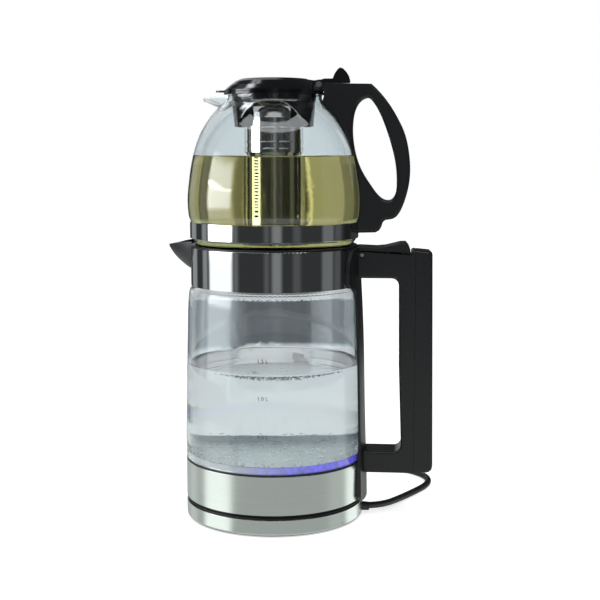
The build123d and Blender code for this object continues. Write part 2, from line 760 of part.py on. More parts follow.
def pot_glass():
    outer = pot_solid() + (beak(lip_sections()) - ring(0, px(30), 0, 500))
    inner_wall = shell_of(POT_WALL, POT_GLASS)
    floor = [(px(61.5), pz(232.4)), (px(64.6), pz(233.6)), (px(66.2), pz(236.8))]
    inner = filled(floor + inner_wall[1:-1] + [(NECK_R - POT_GLASS, POT_RIM + 1.0)])
    channel = beak(lip_sections(1.9))
    return outer - inner - channel


def pot_band():
    """Steel band round the foot of the teapot, clamped under the handle."""
    return ring(px(69.55), px(70.35), pz(236.2), pz(249.3))


def band_screw():
    x, z = px(80.0), pz(243.6)
    shank = Pos((px(70.5) + x) / 2, 0, z) * Rot(0, 90, 0) * Cylinder(1.5, x - px(70.5))
    head = Pos(x + 1.0, 0, z) * Rot(0, 90, 0) * Cylinder(3.0, 2.0)
    return shank + head - block(x + 1.2, x + 3, -0.4, 0.4, z - 3, z + 3)


TAIL_HALF = 4.6
SLOT_HALF = 5.1
TAIL_REACH = 25.3
KNUCKLE_R = 3.9
LID_EDGE_X = HINGE_X - 4.2


def hinge_xz(x, z):
    """Point on the teapot's upper works, from measured millimetres."""
    return (px(x), pz(z))


def pot_handle_face():
    """Handle outline without its finger opening; the left side runs inside the glass."""
    back = [hinge_xz(*p) for p in (
        (80.6, 361.4), (86.0, 356.2), (93.6, 347.3), (101.9, 334.2), (107.7, 322.0), (111.2, 307.9), (112.6, 293),
        (111.9, 281.4), (109.2, 269.3), (105.0, 258.4), (101.5, 253.6), (97.6, 251.6),
    )]
    start, end = back[0], back[-1]
    spine = Spline(*[(x, 0, z) for x, z in back])
    rest = [end] + [hinge_xz(*p) for p in (
        (92.6, 250.8), (90.6, 249.0), (89.4, 245.0), (87.6, 242.2), (84.6, 240.6), (66, 240.1), (60, 246),
        (56, 300), (46, 334), (40.6, 347.4),
    )]
    rest += [(px(41.8), POT_RIM - 1.0), (px(41.8), POT_RIM + 3.0)]
    rest += [(HINGE_X, HINGE_Z - 3.0), (HINGE_X, pz(362)), start]
    sides = Polyline(*[(x, 0, z) for x, z in rest])
    return make_face(spine + sides)


def finger_opening():
    points = [hinge_xz(*p) for p in (
        (76.6, 350.3), (71.6, 347.6), (67.6, 341.4), (65.6, 332.6), (65.2, 322.7), (67.0, 307.9), (72.3, 292.0),
        (80.8, 278.3), (88.2, 269.4), (92.6, 267.0), (97.0, 267.4), (99.9, 270.6), (101.6, 279.7), (100.7, 295.5),
        (95.8, 315.9), (89.2, 334.0), (82.0, 346.8),
    )]
    loop = Spline(*[(x, 0, z) for x, z in points], periodic=True)
    return extrude(make_face(loop), POT_HANDLE_W, dir=(0, 1, 0), both=True)


def hinge_bridge():
    """Part of the lid's round outline that stays with the handle, behind the hinge."""
    disc = turned([
        (0, pz(355.2)), (px(41), pz(355.2)), (px(41), pz(356.4)), (px(40.2), pz(357.2)), (px(36.6), pz(360.2)),
        (0, pz(360.2)),
    ])
    return disc & block(LID_EDGE_X + 0.8, 60, -60, 60, 0, 500)


def pot_handle():
    half = POT_HANDLE_W / 2
    body = extrude(pot_handle_face(), half, dir=(0, 1, 0), both=True) - finger_opening()
    side_edges = [e for e in body.edges() if abs(abs(e.center().Y) - half) < 0.01]
    body = fillet([e for e in side_edges if e.bounding_box().min.X > px(62)], 2.4)
    cheeks = across(KNUCKLE_R, HINGE_X, HINGE_Z, -half, half)
    body = body + cheeks + block(HINGE_X, px(50), -half, half, pz(358), HINGE_Z + 1.0)
    keep_off = px(1) * 0.2
    wall = [(r + keep_off, z) for r, z in POT_WALL]
    body = body - filled(wall) - ring(0, px(70.35) + 0.2, pz(230), pz(249.4))
    body = body - ring(0, px(42.0), POT_RIM - 0.2, POT_RIM + 2.9) + hinge_bridge()
    tail = across(px(TAIL_REACH) + 1.5, HINGE_X, HINGE_Z, -SLOT_HALF, SLOT_HALF)
    body = body - tail
    screw_way = Pos(px(75), 0, pz(243.6)) * Rot(0, 90, 0) * Cylinder(1.6, 40)
    head_way = Pos(px(80) + 15, 0, pz(243.6)) * Rot(0, 90, 0) * Cylinder(3.3, 30)
    for side in (-1, 1):
        body = body - across(2.6, HINGE_X, HINGE_Z, side * half, side * (half + 12.5))
    return body - screw_way - head_way - across(1.52, HINGE_X, HINGE_Z, -20, 20)


def hinge_pin():
    half = POT_HANDLE_W / 2
    pin = across(1.5, HINGE_X, HINGE_Z, -half - 0.5, half + 0.5)
    for side in (-1, 1):
        pin = pin + across(2.4, HINGE_X, HINGE_Z, side * (half + 0.05), side * (half + 0.9))
    return pin


CUP_TOP = POT_RIM + 2.1
CUP_FOOT = pz(327.0)
CUP_LEDGE = pz(348.6)


def infuser_holder():
    """Black cup in the teapot's neck, with an arched window and pouring slots."""
    r_top, r_foot = px(35.0), px(32.6)
    outer = turned([(0, CUP_FOOT), (r_foot, CUP_FOOT), (r_top, pz(351)), (r_top, CUP_TOP), (0, CUP_TOP)])
    flange = ring(0, px(41.2), POT_RIM + 0.3, CUP_TOP)
    inner = turned([
        (0, CUP_FOOT - 1), (r_foot - 1.8, CUP_FOOT - 1), (r_top - 3.9, CUP_LEDGE - 1.0),
        (r_top - 3.9, CUP_LEDGE), (r_top - 1.7, CUP_LEDGE + 0.01), (r_top - 1.7, CUP_TOP + 1), (0, CUP_TOP + 1),
    ])
    cup = outer + flange - inner
    arch = extrude(Ellipse(px(25.5), pz(348.0) - CUP_FOOT), 30, both=True)
    arch = Pos(0, -px(35), CUP_FOOT - 0.5) * Rot(90, 0, 0) * arch
    cup = cup - (arch & block(-60, 60, -60, -10, CUP_FOOT - 5, 500))
    slots = [block(-60, -20, y - 1.3, y + 1.3, pz(341), pz(347.6)) for y in (-9, -4.5, 0, 4.5, 9)]
    for slot in slots:
        cup = cup - slot
    return cup


INFUSER_R = px(24.5)
BASKET_R = px(19.3)
INFUSER_WALL = 1.4
BASKET_TOP = pz(304.0)  # where the basket's lip hangs in the tube


def infuser():
    """Polished steel tube that hangs from the ledge inside the cup, necked in at its foot to carry the basket."""
    flange, z = CUP_LEDGE + 0.35, BASKET_TOP
    socket = BASKET_R + SEAT
    slope = INFUSER_R - socket - 1.45
    tube = turned([
        (socket, z - 3.4), (socket + 1.45, z - 3.4), (socket + 1.45, z - 1.6), (INFUSER_R, z - 1.6 + slope),
        (INFUSER_R, pz(334)), (px(25.6), pz(338.5)), (px(27.6), pz(342.6)), (px(30.3), pz(346.6)),
        (px(30.5), flange), (px(32.4), flange), (px(32.4), flange + 1.4), (px(29.4), flange + 1.4),
        (px(28.9), pz(347.0)), (px(26.4), pz(343.4)), (px(24.3), pz(339.2)), (INFUSER_R - INFUSER_WALL, pz(334.6)),
        (INFUSER_R - INFUSER_WALL, z - 1.0 + slope), (socket + 1.85, z + 0.8), (socket + 1.85, z), (socket, z),
    ])
    for ring_z in (pz(308.5), pz(314), pz(325.6)):
        tube = tube + ring(INFUSER_R - 0.5, INFUSER_R + 0.55, ring_z, ring_z + 1.2)
    return tube


def infuser_basket():
    """Polished steel basket with eight columns of short slots; it drops into the tube and hangs by its lip."""
    foot, inner, z = pz(251.0), BASKET_R - INFUSER_WALL, BASKET_TOP
    basket = turned([
        (0, foot), (BASKET_R - 1.2, foot), (BASKET_R, foot + 1.2), (BASKET_R, z + 0.05), (BASKET_R + 1.5, z + 0.05),
        (BASKET_R + 1.5, z + 1.0), (inner, z + 1.0), (inner, foot + 1.5), (0, foot + 1.5),
    ])
    for i in range(19):
        low = foot + 5.2 + 2.35 * i
        basket = basket - around(block(BASKET_R - 3, BASKET_R + 2, -1.6, 1.6, low, low + 1.1), 8, 13.7)
    for radius, count in ((13, 8), (6.5, 5), (0, 1)):
        basket = basket - around(upright(1.2, radius, 0, foot - 1, foot + 3), count)
    return basket


# ---------------------------------------------------------------- lid


def lid_cover():
    """Low black dome with a nose over the pouring lip and a tail through the hinge."""
    z = pz(355.1)
    dome = turned([hinge_xz(*p) for p in (
        (0, 366.2), (23, 366.2), (27.6, 365.8), (32, 363.8), (36.6, 360.4), (40.2, 357.2), (41.0, 356.4),
        (41.0, 355.1), (36.4, 355.1), (36.4, 357.4), (34.6, 359.6), (31, 362.2), (26.6, 363.9), (0, 364.1),
    )])
    nose = block(px(-47.7), px(-37), -7.5, 7.5, z, pz(356.5))
    nose = fillet([e for e in nose.edges().filter_by(Axis.Z) if e.center().X < px(-45)], 5.0)
    nose = nose - ring(0, px(36.4), 0, 500)
    cover = (dome + nose) & block(-200, LID_EDGE_X, -200, 200, 0, 500)
    neck = side_plate([
        (px(20), pz(364.6)), (px(30), pz(361.6)), (HINGE_X - 3.3, HINGE_Z - 2.2), (HINGE_X, HINGE_Z),
        (HINGE_X, pz(364.8)), (px(33), pz(364.6)), (px(24), pz(366.0)),
    ], TAIL_HALF)
    end = HINGE_X + px(TAIL_REACH)
    tail = side_plate([
        (HINGE_X, HINGE_Z), (px(42.0), pz(362.5)), (end - 0.8, pz(362.5)), (end, pz(363.3)),
        (end - 0.4, pz(366.0)), (px(42.0), pz(366.0)), (HINGE_X, pz(364.8)),
    ], TAIL_HALF)
    knuckle = across(3.5, HINGE_X, HINGE_Z, -TAIL_HALF, TAIL_HALF)
    return cover + neck + tail + knuckle - across(1.5 + FIT, HINGE_X, HINGE_Z, -20, 20)


def lid_liner():
    """Ring under the lid that drops into the cup."""
    rim = ring(px(30.4), px(32.0), pz(352.6), pz(361.2))
    return (rim & block(-200, LID_EDGE_X - 1.0, -200, 200, 0, 500)) - block(0, 60, -5, 5, pz(360.0), 500)


def thumb_tab():
    """Thumb piece standing on the lid's tail."""
    tab = side_plate([hinge_xz(*p) for p in (
        (48.7, 366.1), (50.0, 369.6), (52.6, 373.4), (54.6, 374.9), (57.0, 374.2), (59.8, 371.4), (61.8, 368.2),
        (62.2, 366.1),
    )], TAIL_HALF)
    side_edges = [e for e in tab.edges() if abs(abs(e.center().Y) - TAIL_HALF) < 0.01]
    return fillet([e for e in side_edges if e.center().Z > pz(367)], 0.8)


PIECES = [
    base_band, base_tray, foot_ring, base_deck, base_connector, centre_contact, ring_contact,
    connector_shutter, base_screws, strain_relief, mains_cord, cord_tail, plug_relief, plug_body,
    plug_pins, kettle_skirt, shell_band, band_seal, kettle_glass, light_ring, led_board, heating_plate,
    plate_seal, heat_spreader, heater_element, thermostat, kettle_connector, connector_pin, collar,
    neck_gasket, kettle_spout, spout_filter, handle_frame, grip_cover, handle_screw, switch_lever,
    switch_pin, seat_ring, pot_glass, pot_band, band_screw, pot_handle, hinge_pin, infuser_holder,
    infuser, infuser_basket, lid_cover, lid_liner, thumb_tab,
]

for piece in PIECES:
    save(piece.__name__, piece())
save("cord_coil", coil_shape())
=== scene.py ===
"""Looks, light and camera of the automatic tea maker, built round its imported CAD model. Metres, +Z up."""

import random
from math import cos, exp, hypot, pi, radians, sin

import bmesh
import bpy
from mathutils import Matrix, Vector


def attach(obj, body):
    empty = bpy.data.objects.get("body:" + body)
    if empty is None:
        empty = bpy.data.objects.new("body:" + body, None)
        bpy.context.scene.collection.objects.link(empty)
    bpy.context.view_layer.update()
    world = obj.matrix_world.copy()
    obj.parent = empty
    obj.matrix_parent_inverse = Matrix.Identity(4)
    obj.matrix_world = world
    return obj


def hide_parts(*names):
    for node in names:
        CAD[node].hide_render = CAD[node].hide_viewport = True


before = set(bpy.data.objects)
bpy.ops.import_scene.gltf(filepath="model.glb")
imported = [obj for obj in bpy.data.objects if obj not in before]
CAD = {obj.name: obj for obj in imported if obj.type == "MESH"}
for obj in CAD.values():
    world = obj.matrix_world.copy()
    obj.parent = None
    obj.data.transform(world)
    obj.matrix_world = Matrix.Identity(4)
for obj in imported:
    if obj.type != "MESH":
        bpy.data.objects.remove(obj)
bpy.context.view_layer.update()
MM = 0.001


# ---------------------------------------------------------------- camera
CAMERA_TURN = 6.1  # degrees, from -Y towards the handles
CAMERA_HEIGHT, CAMERA_LENS = 0.309, 71.8  # metres above the floor, millimetres
CAMERA_PITCH, CAMERA_YAW = 82.8, 4.867  # degrees


def place_camera():
    """Camera one metre from the axis of the kettle, level with the teapot."""
    lens = bpy.data.cameras.new("camera")
    lens.lens = CAMERA_LENS
    lens.clip_start = 0.05
    camera = bpy.data.objects.new("camera", lens)
    camera.location = (sin(radians(CAMERA_TURN)), -cos(radians(CAMERA_TURN)), CAMERA_HEIGHT)
    camera.rotation_euler = (radians(CAMERA_PITCH), 0, radians(CAMERA_YAW))
    bpy.context.scene.collection.objects.link(camera)
    bpy.context.scene.camera = camera


def polar(angle, radius, z):
    """Point at an angle round from the camera's side, positive to the camera's right."""
    a = radians(CAMERA_TURN + angle)
    return (radius * sin(a), -radius * cos(a), z)


place_camera()
bpy.context.scene.view_settings.view_transform = "Standard"


# ---------------------------------------------------------------- node helpers
def linear(code):
    """sRGB hex to linear RGBA."""
    parts = [int(code[i : i + 2], 16) / 255 for i in (1, 3, 5)]
    return tuple(c / 12.92 if c <= 0.04045 else ((c + 0.055) / 1.055) ** 2.4 for c in parts) + (1.0,)


def add(material, kind, inputs=None, **settings):
    """Adds a node with its settings, its values and its links."""
    made = material.node_tree.nodes.new("ShaderNode" + kind)
    for key, value in settings.items():
        setattr(made, key, value)
    for key, value in (inputs or {}).items():
        if isinstance(value, bpy.types.NodeSocket):
            material.node_tree.links.new(value, made.inputs[key])
        else:
            made.inputs[key].default_value = value
    return made


def blank(name):
    """A material with no nodes."""
    material = bpy.data.materials.new(name)
    material.use_nodes = True
    material.node_tree.nodes.clear()
    return material


def surface(material, shader, volume=None):
    """Ends a material with its shader and, where it has one, its volume."""
    links = {"Surface": shader.outputs[0]}
    if volume is not None:
        links["Volume"] = volume.outputs[0]
    add(material, "OutputMaterial", links)
    return material


def span(material, value, low, high):
    """A 0 to 1 pattern moved to the range low to high."""
    return add(material, "MapRange", {0: value, 3: low, 4: high}).outputs[0]


# ---------------------------------------------------------------- materials
def brushed_stainless():
    """Stainless steel strip, brushed round the body: soft upright streaks of light and fine level lines."""
    m = blank("brushed_stainless")
    place = add(m, "TexCoord").outputs["Object"]
    # grit lines are 0.05 mm apart; drawn at 0.8 mm so that they show
    fine = add(m, "Mapping", {"Vector": place, "Scale": (6, 6, 1250)}).outputs[0]
    lines = add(m, "TexNoise", {"Vector": fine, "Scale": 1.0, "Detail": 3.0, "Roughness": 0.6}).outputs[0]
    broad = add(m, "TexNoise", {"Vector": place, "Scale": 14.0, "Detail": 2.0}).outputs[0]
    tone = add(m, "Mix", {0: span(m, lines, 0.2, 0.8), 6: linear("#B9BDBB"), 7: linear("#C9CCCA")},
               data_type="RGBA")
    rough = add(m, "Math", {0: span(m, lines, 0.16, 0.24), 1: span(m, broad, -0.02, 0.03)}, operation="ADD")
    bump = add(m, "Bump", {"Height": lines, "Distance": 0.00002, "Strength": 0.35})
    turn = add(m, "Tangent", direction_type="RADIAL", axis="Z")
    shader = add(m, "BsdfPrincipled", {"Base Color": tone.outputs[2], "Metallic": 1.0,
                                       "Roughness": rough.outputs[0], "Anisotropic": 0.5,
                                       "Tangent": turn.outputs[0], "Normal": bump.outputs[0]})
    return surface(m, shader)


def polished_stainless():
    """Bright-rolled stainless steel: mirror with a slight roll waviness and a few wiped smears."""
    m = blank("polished_stainless")
    place = add(m, "TexCoord").outputs["Object"]
    wide = add(m, "Mapping", {"Vector": place, "Scale": (1, 1, 0.25)}).outputs[0]
    wave = add(m, "TexNoise", {"Vector": wide, "Scale": 26.0, "Detail": 1.0}).outputs[0]
    smear = add(m, "TexNoise", {"Vector": place, "Scale": 60.0, "Detail": 4.0, "Roughness": 0.65}).outputs[0]
    bump = add(m, "Bump", {"Height": wave, "Distance": 0.0006, "Strength": 0.08})
    shader = add(m, "BsdfPrincipled", {"Base Color": linear("#CDCFCF"), "Metallic": 1.0,
                                       "Roughness": span(m, smear, 0.03, 0.09), "Normal": bump.outputs[0]})
    return surface(m, shader)


def satin_steel_plate():
    """Pressed stainless heating plate: satin, with pale lime bloom in patches."""
    m = blank("satin_steel_plate")
    place = add(m, "TexCoord").outputs["Object"]
    bloom = add(m, "TexNoise", {"Vector": place, "Scale": 70.0, "Detail": 6.0, "Roughness": 0.7}).outputs[0]
    spots = add(m, "TexVoronoi", {"Vector": place, "Scale": 320.0}).outputs[0]
    tone = add(m, "Mix", {0: span(m, bloom, -0.3, 1.2), 6: linear("#DDE1E0"), 7: linear("#FAFCFA")},
               data_type="RGBA")
    bump = add(m, "Bump", {"Height": spots, "Distance": 0.0003, "Strength": 0.3})
    shader = add(m, "BsdfPrincipled", {"Base Color": tone.outputs[2], "Metallic": 0.15,
                                       "Roughness": span(m, bloom, 0.3, 0.5), "Normal": bump.outputs[0]})
    return surface(m, shader)


def moulded(name, code, rough, grain, depth):
    """Injection-moulded plastic or rubber: near-black, with spark-eroded grain and slight gloss change."""
    m = blank(name)
    place = add(m, "TexCoord").outputs["Object"]
    pits = add(m, "TexVoronoi", {"Vector": place, "Scale": 1 / grain}).outputs[0]
    flow = add(m, "TexNoise", {"Vector": place, "Scale": 35.0, "Detail": 3.0}).outputs[0]
    light = tuple(min(1.0, c * 1.5) for c in linear(code)[:3]) + (1.0,)
    tone = add(m, "Mix", {0: span(m, flow, 0.0, 1.0), 6: linear(code), 7: light}, data_type="RGBA")
    bump = add(m, "Bump", {"Height": pits, "Distance": depth, "Strength": 0.4})
    shader = add(m, "BsdfPrincipled", {"Base Color": tone.outputs[2], "IOR": 1.5, "Normal": bump.outputs[0],
                                       "Roughness": span(m, flow, rough * 0.85, rough * 1.15)})
    return surface(m, shader)


def clear_solid(name, code, ior, depth_code, density, rough=0.0):
    """Clear glass, plastic or liquid whose depth takes up a little colour."""
    m = blank(name)
    shader = add(m, "BsdfPrincipled", {"Base Color": linear(code), "Roughness": rough, "IOR": ior,
                                       "Transmission Weight": 1.0})
    tint = add(m, "VolumeAbsorption", {"Color": linear(depth_code), "Density": density})
    return surface(m, shader, tint)


def plain_metal(name, code, rough):
    """Turned or stamped small part: bright cut faces, faint tool lines."""
    m = blank(name)
    place = add(m, "TexCoord").outputs["Object"]
    marks = add(m, "TexNoise", {"Vector": place, "Scale": 900.0, "Detail": 2.0}).outputs[0]
    bump = add(m, "Bump", {"Height": marks, "Distance": 0.00005, "Strength": 0.3})
    shader = add(m, "BsdfPrincipled", {"Base Color": linear(code), "Metallic": 1.0, "Normal": bump.outputs[0],
                                       "Roughness": span(m, marks, rough * 0.8, rough * 1.25)})
    return surface(m, shader)


def light_guide():
    """Acrylic ring lit from below by blue-violet lamps; its glow and its blue colour are painted in,
    strongest towards the handle and the front, and the far side is painted pale grey with almost no glow.
    """
    m = blank("lit_acrylic_ring")
    place = add(m, "TexCoord").outputs["Object"]
    level = add(m, "VectorMath", {0: place, 1: (1, 1, 0)}, operation="MULTIPLY").outputs[0]
    way = add(m, "VectorMath", {0: level}, operation="NORMALIZE").outputs[0]
    # painted glow: a fixed direction towards the handle and the front sets how strongly each side of the ring
    # glows
    facing = add(m, "VectorMath", {0: way, 1: (0.86, -0.5, 0)}, operation="DOT_PRODUCT").outputs["Value"]
    near = add(m, "MapRange", {0: facing, 1: 0.0, 2: 1.0, 3: 0.02, 4: 0.8},
               interpolation_type="SMOOTHSTEP").outputs[0]
    spots = add(m, "TexVoronoi", {"Vector": place, "Scale": 260.0}).outputs[0]
    glow = add(m, "Math", {0: near, 1: span(m, spots, 1.3, 0.1)}, operation="MULTIPLY").outputs[0]
    # painted light: deep blue on the side painted as lit, pale grey on the side painted as unlit
    tone = add(m, "Mix", {0: near, 6: linear("#BCC0BF"), 7: linear("#322E84")}, data_type="RGBA")
    shader = add(m, "BsdfPrincipled", {"Base Color": tone.outputs[2], "Roughness": 0.3,
                                       "Emission Color": linear("#5146F0"), "Emission Strength": glow})
    return surface(m, shader)


def silicone():
    """Milky translucent silicone."""
    m = blank("milky_silicone")
    place = add(m, "TexCoord").outputs["Object"]
    cloud = add(m, "TexNoise", {"Vector": place, "Scale": 90.0, "Detail": 3.0}).outputs[0]
    tone = add(m, "Mix", {0: cloud, 6: linear("#B9BFC0"), 7: linear("#D5D9D8")}, data_type="RGBA")
    shader = add(m, "BsdfPrincipled", {"Base Color": tone.outputs[2], "Roughness": span(m, cloud, 0.35, 0.5),
                                       "Subsurface Weight": 0.3, "Subsurface Radius": (0.002, 0.002, 0.002)})
    return surface(m, shader)


def varnished_board():
    """Green solder-masked board."""
    m = blank("green_circuit_board")
    place = add(m, "TexCoord").outputs["Object"]
    tracks = add(m, "TexVoronoi", {"Vector": place, "Scale": 260.0}, feature="DISTANCE_TO_EDGE").outputs[0]
    tone = add(m, "Mix", {0: span(m, tracks, 0.0, 3.0), 6: linear("#3C8A52"), 7: linear("#145A2B")},
               data_type="RGBA")
    shader = add(m, "BsdfPrincipled", {"Base Color": tone.outputs[2], "Roughness": 0.3})
    return surface(m, shader)


def printed_ink():
    """Fired scale ink on the glass, a little thin in places."""
    m = blank("grey_scale_ink")
    place = add(m, "TexCoord").outputs["Object"]
    thin = add(m, "TexNoise", {"Vector": place, "Scale": 1500.0, "Detail": 2.0}).outputs[0]
    tone = add(m, "Mix", {0: thin, 6: linear("#262C30"), 7: linear("#4A5256")}, data_type="RGBA")
    shader = add(m, "BsdfPrincipled", {"Base Color": tone.outputs[2], "Roughness": 0.5})
    return surface(m, shader)


BRUSHED = brushed_stainless()
POLISHED = polished_stainless()
PLATE = satin_steel_plate()
HANDLE_BLACK = moulded("satin_black_polypropylene", "#121416", 0.36, 0.0009, 0.00003)
TRAY_BLACK = moulded("matt_black_polypropylene", "#141516", 0.5, 0.0007, 0.00004)
LID_BLACK = moulded("gloss_black_abs", "#0B0C0E", 0.14, 0.0012, 0.00001)
RUBBER = moulded("soft_black_rubber", "#121213", 0.55, 0.0006, 0.00003)
KETTLE_GLASS = clear_solid("borosilicate_kettle_glass", "#FFFFFF", 1.473, "#C9DBE2", 55.0)
POT_GLASS = clear_solid("borosilicate_pot_glass", "#FFFFFF", 1.473, "#C6D6DA", 60.0)
WATER = clear_solid("boiled_water", "#FFFFFF", 1.333, "#D4EAEC", 3.5)
TEA = clear_solid("green_tea", "#FFFFFF", 1.335, "#D8D200", 12.0)
AIR_BUBBLE = clear_solid("air_in_water", "#FFFFFF", 0.75, "#FFFFFF", 0.0)
GUIDE = light_guide()
SILICONE = silicone()
BOARD = varnished_board()
INK = printed_ink()
BRASS = plain_metal("turned_brass", "#C9A45A", 0.25)
NICKEL = plain_metal("nickel_plated_brass", "#C4C3BE", 0.22)
ZINC = plain_metal("zinc_plated_steel", "#B4B6B8", 0.35)
BEADED_STEEL = plain_metal("satin_rolled_steel_bead", "#E2E4E4", 0.26)
CAST_ALLOY = plain_metal("cast_aluminium", "#C2C4C6", 0.5)

FINISH = {
    "base_band": BRUSHED, "shell_band": BRUSHED, "collar": POLISHED, "pot_band": POLISHED,
    "infuser": POLISHED, "infuser_basket": POLISHED,
    "heating_plate": PLATE, "spout_filter": PLATE,
    "base_tray": TRAY_BLACK, "base_deck": TRAY_BLACK, "base_connector": TRAY_BLACK,
    "connector_shutter": TRAY_BLACK, "kettle_skirt": TRAY_BLACK, "kettle_connector": TRAY_BLACK,
    "thermostat": TRAY_BLACK, "plug_body": TRAY_BLACK,
    "kettle_spout": HANDLE_BLACK, "handle_frame": HANDLE_BLACK, "grip_cover": HANDLE_BLACK,
    "switch_lever": HANDLE_BLACK, "pot_handle": HANDLE_BLACK, "seat_ring": HANDLE_BLACK,
    "lid_cover": LID_BLACK, "lid_liner": LID_BLACK, "thumb_tab": LID_BLACK, "infuser_holder": LID_BLACK,
    "foot_ring": RUBBER, "strain_relief": RUBBER, "plug_relief": RUBBER, "band_seal": RUBBER,
    "mains_cord": RUBBER, "cord_coil": RUBBER, "cord_tail": RUBBER,
    "plate_seal": SILICONE, "neck_gasket": SILICONE,
    "kettle_glass": KETTLE_GLASS, "pot_glass": POT_GLASS, "light_ring": GUIDE,
    "centre_contact": BRASS, "ring_contact": BRASS, "connector_pin": BRASS, "plug_pins": NICKEL,
    "base_screws": ZINC, "handle_screw": ZINC, "switch_pin": ZINC, "band_screw": ZINC, "hinge_pin": ZINC,
    "led_board": BOARD, "heat_spreader": CAST_ALLOY, "heater_element": CAST_ALLOY,
}
for node, finish in FINISH.items():
    CAD[node].data.materials.clear()
    CAD[node].data.materials.append(finish)


# ---------------------------------------------------------------- cord
ROUTE = [(65.9, -3.0, 7.6), (88.3, 4.3, 4.6), (111.5, 42.9, 2.85), (137.8, 92.3, 2.85), (122.9, 127.3, 2.85),
         (84.9, 145.1, 2.85)]
COIL_CENTRE, COIL_R = (28.0, 119.0), 31.0
TAIL = [(28.0, 150.0, 8.5), (12.0, 150.0, 9.6), (-2.0, 150.0, 10.0), (-20.0, 150.0, 10.0)]
CORD_R = 2.8


def coil_turns():
    """Two turns, the second lying on the first, sixteen points to a turn."""
    points = []
    turn, start = 16, 84.9
    reach = COIL_R / cos(pi / turn)
    for i in range(2 * turn + 1):
        a = radians(start + i * 360 / turn)
        climb = min(1.0, max(0.0, (i - 12) / 3.0))
        out = reach - 0.5 + 1.0 * climb
        points.append((COIL_CENTRE[0] + out * cos(a), COIL_CENTRE[1] + out * sin(a), 2.85 + 5.65 * climb))
    return points


def mains_lead():
    """The cord as one smooth line from the base to the plug."""
    curve = bpy.data.curves.new("mains_lead", "CURVE")
    curve.dimensions = "3D"
    curve.bevel_depth = CORD_R * MM
    curve.bevel_resolution = 5
    curve.resolution_u = 10
    points = ROUTE + coil_turns()[:-1] + TAIL
    line = curve.splines.new("NURBS")
    line.points.add(len(points) - 1)
    for slot, (x, y, z) in zip(line.points, points):
        slot.co = (x * MM, y * MM, z * MM, 1)
    line.order_u = 3
    line.use_endpoint_u = True
    curve.use_fill_caps = True
    curve.materials.append(RUBBER)
    lead = bpy.data.objects.new("mains_lead", curve)
    bpy.context.scene.collection.objects.link(lead)
    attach(lead, "base")
    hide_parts("mains_cord", "cord_coil", "cord_tail")


mains_lead()


# ---------------------------------------------------------------- mesh helpers
def piece(name, mesh, body, finish):
    """A new piece that rides on a CAD body."""
    made = bpy.data.objects.new(name, mesh)
    bpy.context.scene.collection.objects.link(made)
    mesh.materials.append(finish)
    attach(made, body)


def smooth_mesh(name, bm):
    """Ends a bmesh as a smooth-shaded mesh."""
    for face in bm.faces:
        face.smooth = True
    mesh = bpy.data.meshes.new(name)
    bm.to_mesh(mesh)
    bm.free()
    return mesh


def lathe(name, outline, steps=160):
    """Closed smooth solid turned about Z from an (r, z) outline in millimetres, its ends on the axis."""
    bm = bmesh.new()
    rings = []
    for r, z in outline:
        if r < 1e-6:
            rings.append([bm.verts.new((0, 0, z * MM))])
        else:
            turns = [2 * pi * k / steps for k in range(steps)]
            rings.append([bm.verts.new((r * MM * cos(t), r * MM * sin(t), z * MM)) for t in turns])
    for low, high in zip(rings, rings[1:]):
        for k in range(steps):
            n = (k + 1) % steps
            if len(low) == 1:
                bm.faces.new((low[0], high[n], high[k]))
            elif len(high) == 1:
                bm.faces.new((low[k], low[n], high[0]))
            else:
                bm.faces.new((low[k], low[n], high[n], high[k]))
    bmesh.ops.recalc_face_normals(bm, faces=bm.faces)
    return smooth_mesh(name, bm)


def creep(r, wall, height, reach=2.0):
    """How far a liquid climbs near a wall, in millimetres."""
    return height * exp(-abs(wall - r) / reach)


def smooth_path(points, count=12):
    """Catmull-Rom curve through (r, z) points."""
    out = []
    ends = [points[0]] + points + [points[-1]]
    for p0, p1, p2, p3 in zip(ends, ends[1:], ends[2:], ends[3:]):
        for i in range(count):
            t = i / count
            out.append(tuple(0.5 * (2 * b + (c - a) * t + (2 * a - 5 * b + 4 * c - d) * t * t
                                    + (3 * b - a - 3 * c + d) * t**3)
                             for a, b, c, d in zip(p0, p1, p2, p3)))
    return out + [points[-1]]


# ---------------------------------------------------------------- liquids
WATER_LEVEL, TEA_LEVEL = 131.0, 302.0  # millimetres above the floor
WATER_CREEP, TEA_CREEP = 1.6, 1.5  # how high each climbs its glass
STEEL_CREEP, STEEL_REACH = 1.0, 1.2  # how high and how wide the tea climbs the infuser
INFUSER_OUTSIDE, INFUSER_INSIDE = 21.0, 17.9
BITE = 0.12  # the liquid's skin lies just inside the glass, so that no air shows between them


def water():
    """Water from the heating plate and the light ring up to its level, climbing a little at the glass."""
    wall = smooth_path([(72.05, 57.1), (72.2, 60), (72.05, 78), (71.8, 95), (71.5, 113), (71.1, 131),
                        (71.05, 133)])
    wall = [(r + BITE, z) for r, z in wall if z <= WATER_LEVEL + WATER_CREEP]
    edge = wall[-1][0]
    top = [(r, WATER_LEVEL + creep(r, edge, WATER_CREEP)) for r in (edge - 0.4 * k for k in range(1, 26))]
    foot = [(0, 50.9), (56.1, 50.9), (58.1, 51.5), (68.5, 51.5), (69.1, 51.9), (69.4, 56.3), (70.9, 57.3)]
    outline = foot + wall + top + [(40, WATER_LEVEL), (0, WATER_LEVEL)]
    mesh = lathe("water", outline)
    piece("water", mesh, "kettle", WATER)


